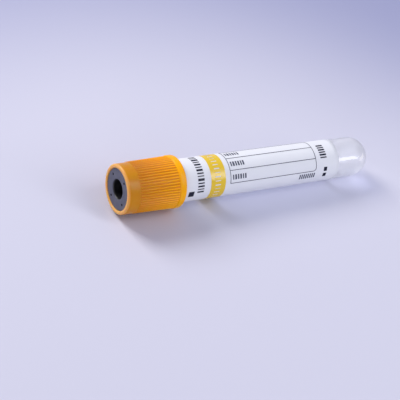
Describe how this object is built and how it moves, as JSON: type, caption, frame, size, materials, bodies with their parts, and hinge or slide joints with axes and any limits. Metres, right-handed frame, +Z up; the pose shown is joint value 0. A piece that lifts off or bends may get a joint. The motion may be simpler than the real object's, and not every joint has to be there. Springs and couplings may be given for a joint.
{
  "type": "blood collection tube",
  "caption": "Clear round-bottomed tube with separator gel, wrapped label, rubber stopper with a needle well and a ribbed cap that pulls off with the stopper.",
  "frame": {"origin": "centre of the footprint, on the surface that the tube lies on", "axes": "+X runs along the tube from its cap to its round end, +Z up; the label's form faces +Z and -Y"},
  "size_m": [0.0896, 0.0162, 0.0163],
  "materials": {
    "clear_plastic": "clear gloss",
    "gel": "milky translucent",
    "stopper_rubber": "satin dark slate grey",
    "cap_plastic": "satin amber",
    "label_film": "smooth white film",
    "yellow_ink": "smooth yellow print",
    "black_ink": "black print",
    "grey_ink": "dark grey print"
  },
  "bodies": {
    "tube": {"tube": "clear_plastic", "separator_gel": "gel", "label": "label_film", "band_print": "yellow_ink", "bold_print": "black_ink", "form_print": "grey_ink", "small_print": "grey_ink"},
    "stopper": {"stopper": "stopper_rubber"},
    "cap": {"cap": "cap_plastic"}
  },
  "joints": [
    {"name": "closure_pull", "type": "slide", "parent": "tube", "child": "stopper", "axis": [-0.9996, 0, 0.0286], "range_m": [0, 0.025]},
    {"name": "cap_twist", "type": "hinge", "parent": "stopper", "child": "cap", "pos_m": [-0.03481, 0, 0.00835], "axis": [-0.9996, 0, 0.0286], "continuous": true}
  ]
}
